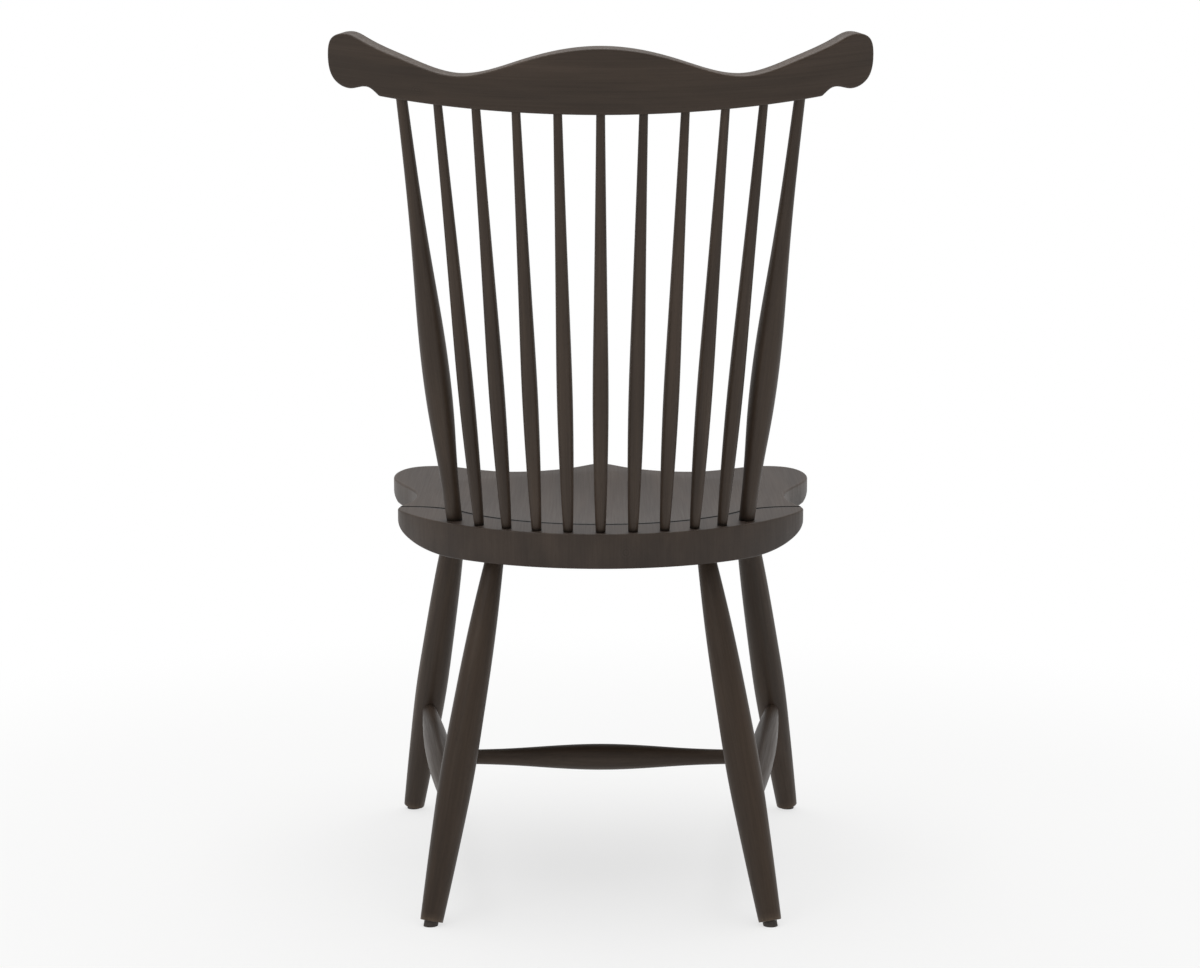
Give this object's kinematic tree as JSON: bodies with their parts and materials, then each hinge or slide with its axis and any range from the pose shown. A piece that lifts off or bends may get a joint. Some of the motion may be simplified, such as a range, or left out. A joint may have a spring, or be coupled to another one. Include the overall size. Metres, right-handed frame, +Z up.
{
  "type": "fan-back windsor side chair",
  "caption": "Wooden side chair with a saddled shield seat, a fan of slim spindles between two turned posts, a bowed crest with eared ends, and splayed turned legs.",
  "frame": {"origin": "middle of the whole chair's footprint box, on the floor under the glides", "axes": "+Z up, the sitter faces -Y, +X to the right as seen from the front looking along +Y"},
  "size_m": [0.6078, 0.6002, 1.0201],
  "materials": {
    "stained_seat": "dark espresso stained hardwood with a satin lacquer, hand-carved saddle",
    "stained_crest": "dark espresso stained bent hardwood with a satin lacquer",
    "stained_turning": "dark espresso stained turned hardwood with a satin lacquer",
    "glide": "dark moulded nylon, matt",
    "nail": "bright drawn steel"
  },
  "bodies": {
    "root": {"seat": "stained_seat", "crest_rail": "stained_crest", "post_left": "stained_turning", "post_right": "stained_turning", "spindle_1": "stained_turning", "spindle_2": "stained_turning", "spindle_3": "stained_turning", "spindle_4": "stained_turning", "spindle_5": "stained_turning", "spindle_6": "stained_turning", "spindle_7": "stained_turning", "spindle_8": "stained_turning", "spindle_9": "stained_turning", "leg_front_left": "stained_turning", "leg_front_right": "stained_turning", "leg_rear_left": "stained_turning", "leg_rear_right": "stained_turning", "side_stretcher_left": "stained_turning", "side_stretcher_right": "stained_turning", "medial_stretcher": "stained_turning", "glide_front_left": "glide", "glide_front_right": "glide", "glide_rear_left": "glide", "glide_rear_right": "glide", "glide_nails": "nail"}
  },
  "joints": []
}
